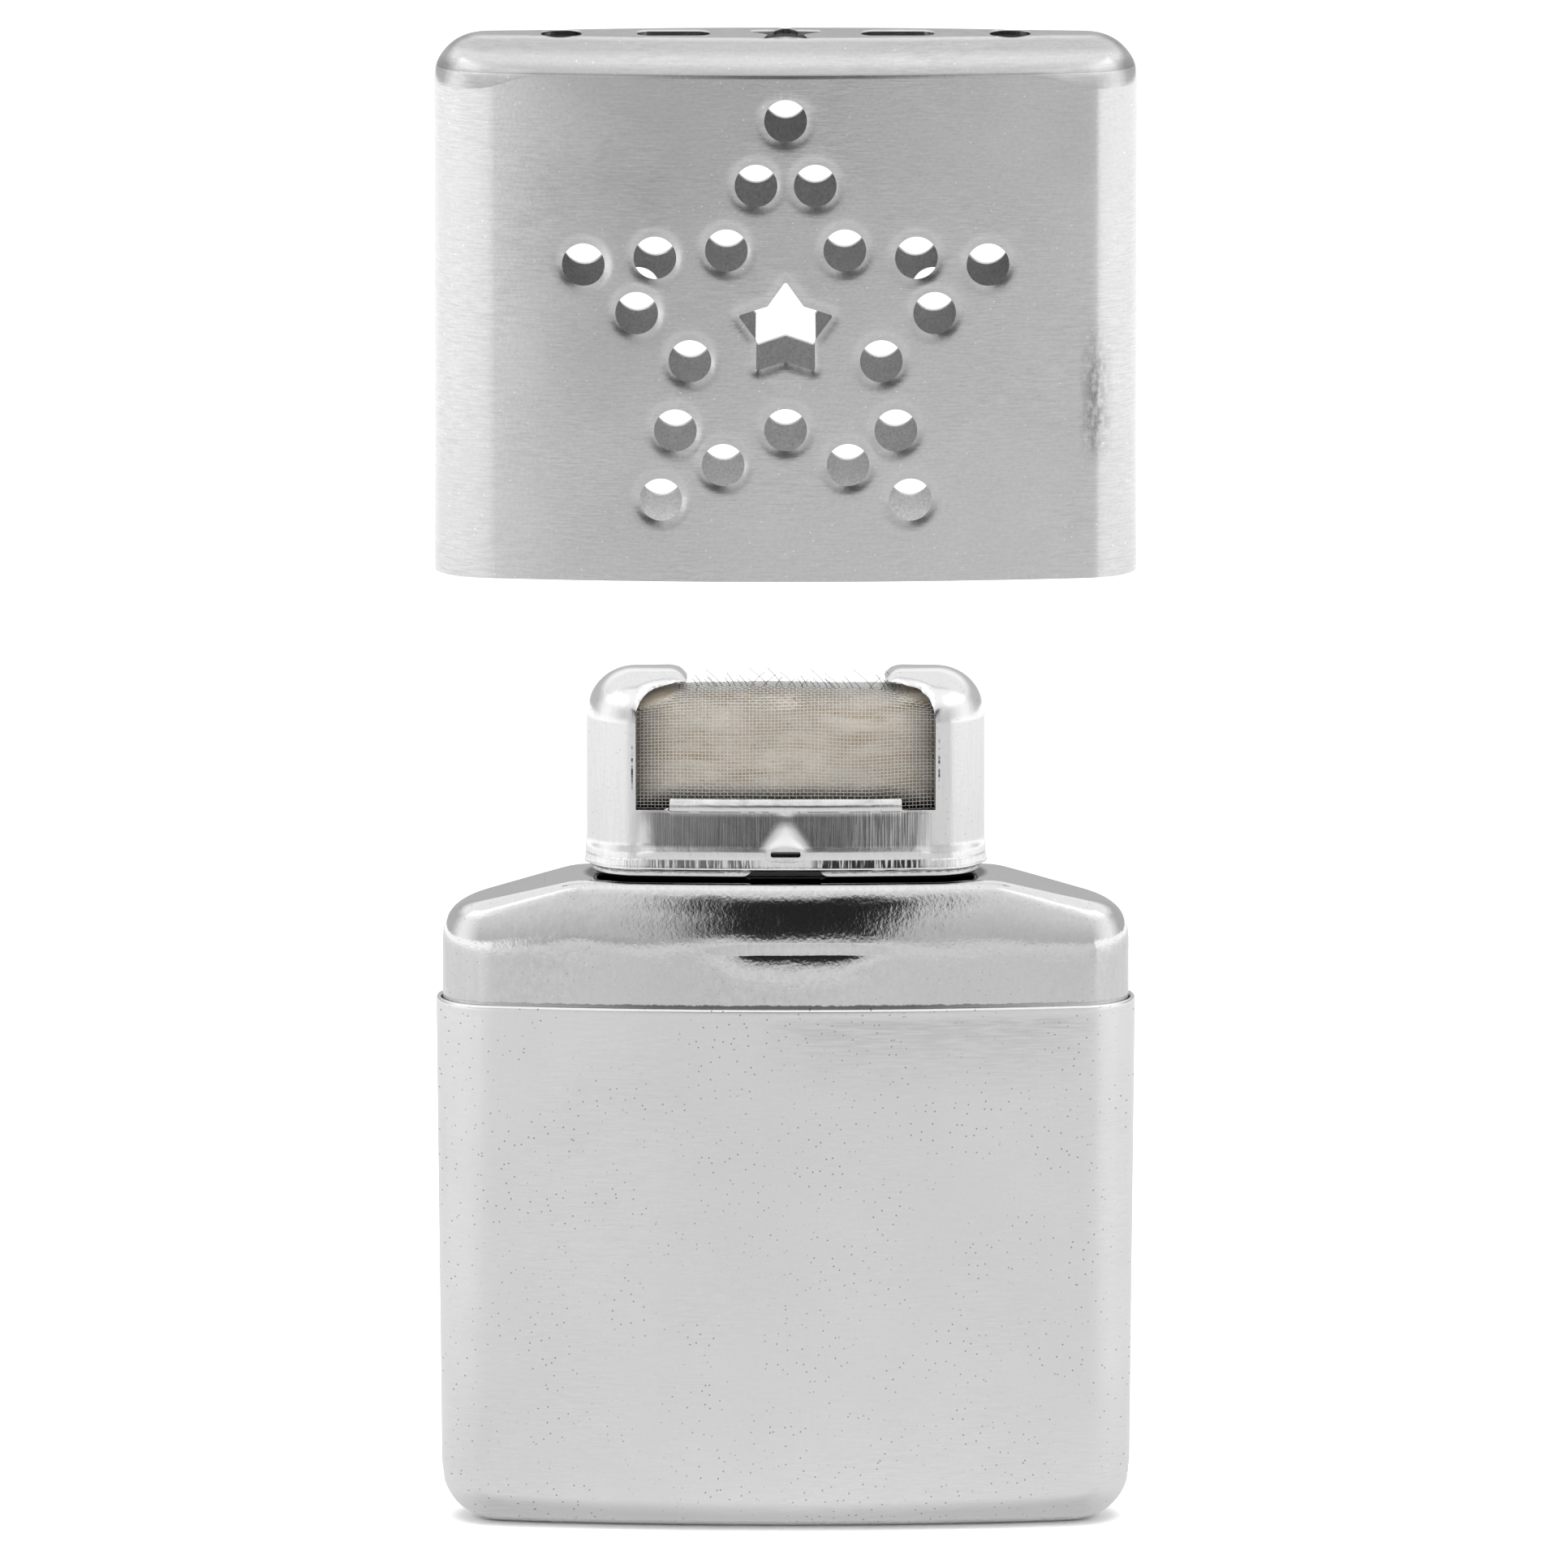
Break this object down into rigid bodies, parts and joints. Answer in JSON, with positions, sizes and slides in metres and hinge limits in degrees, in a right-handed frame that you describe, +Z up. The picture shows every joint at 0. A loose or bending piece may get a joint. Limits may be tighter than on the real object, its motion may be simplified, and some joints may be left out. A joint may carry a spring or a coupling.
{
  "type": "catalytic hand warmer",
  "caption": "Flat oval pocket hand warmer: fuel tank with cotton, plug-on catalytic burner under wire gauze, and a lift-off perforated metal cover.",
  "frame": {"origin": "centre of the tank's flat base, on the surface it stands on", "axes": "+Z up from the base to the cover's top, +X to the right along the wide face, -Y out of the front face"},
  "size_m": [0.066, 0.0146, 0.1426],
  "materials": {
    "polished_steel": "polished, plated",
    "satin_steel": "satin, plated",
    "shoulder_steel": "polished, plated, slight orange peel",
    "burner_steel": "bright drawn",
    "sleeve_steel": "bright drawn",
    "gauze_steel": "fine woven wire",
    "glass_wool": "fibrous, matt",
    "cotton": "fibrous, matt",
    "felt": "felted, matt"
  },
  "bodies": {
    "tank": {"tank_lower_shell": "satin_steel", "tank_shoulder_shell": "shoulder_steel", "cotton_lower": "cotton", "cotton_middle": "cotton", "cotton_upper": "cotton", "neck_felt": "felt"},
    "burner": {"burner_frame": "burner_steel", "burner_inner_sleeve": "sleeve_steel", "pad_support": "sleeve_steel", "burner_gauze": "gauze_steel", "catalyst_pad": "glass_wool"},
    "cover": {"cover_shell": "polished_steel"}
  },
  "joints": [
    {"name": "cover_lift", "type": "slide", "parent": "tank", "child": "cover", "axis": [0, 0, 1], "range_m": [-0.041, 0]},
    {"name": "burner_pull", "type": "slide", "parent": "tank", "child": "burner", "axis": [0, 0, 1], "range_m": [0, 0.008]}
  ]
}
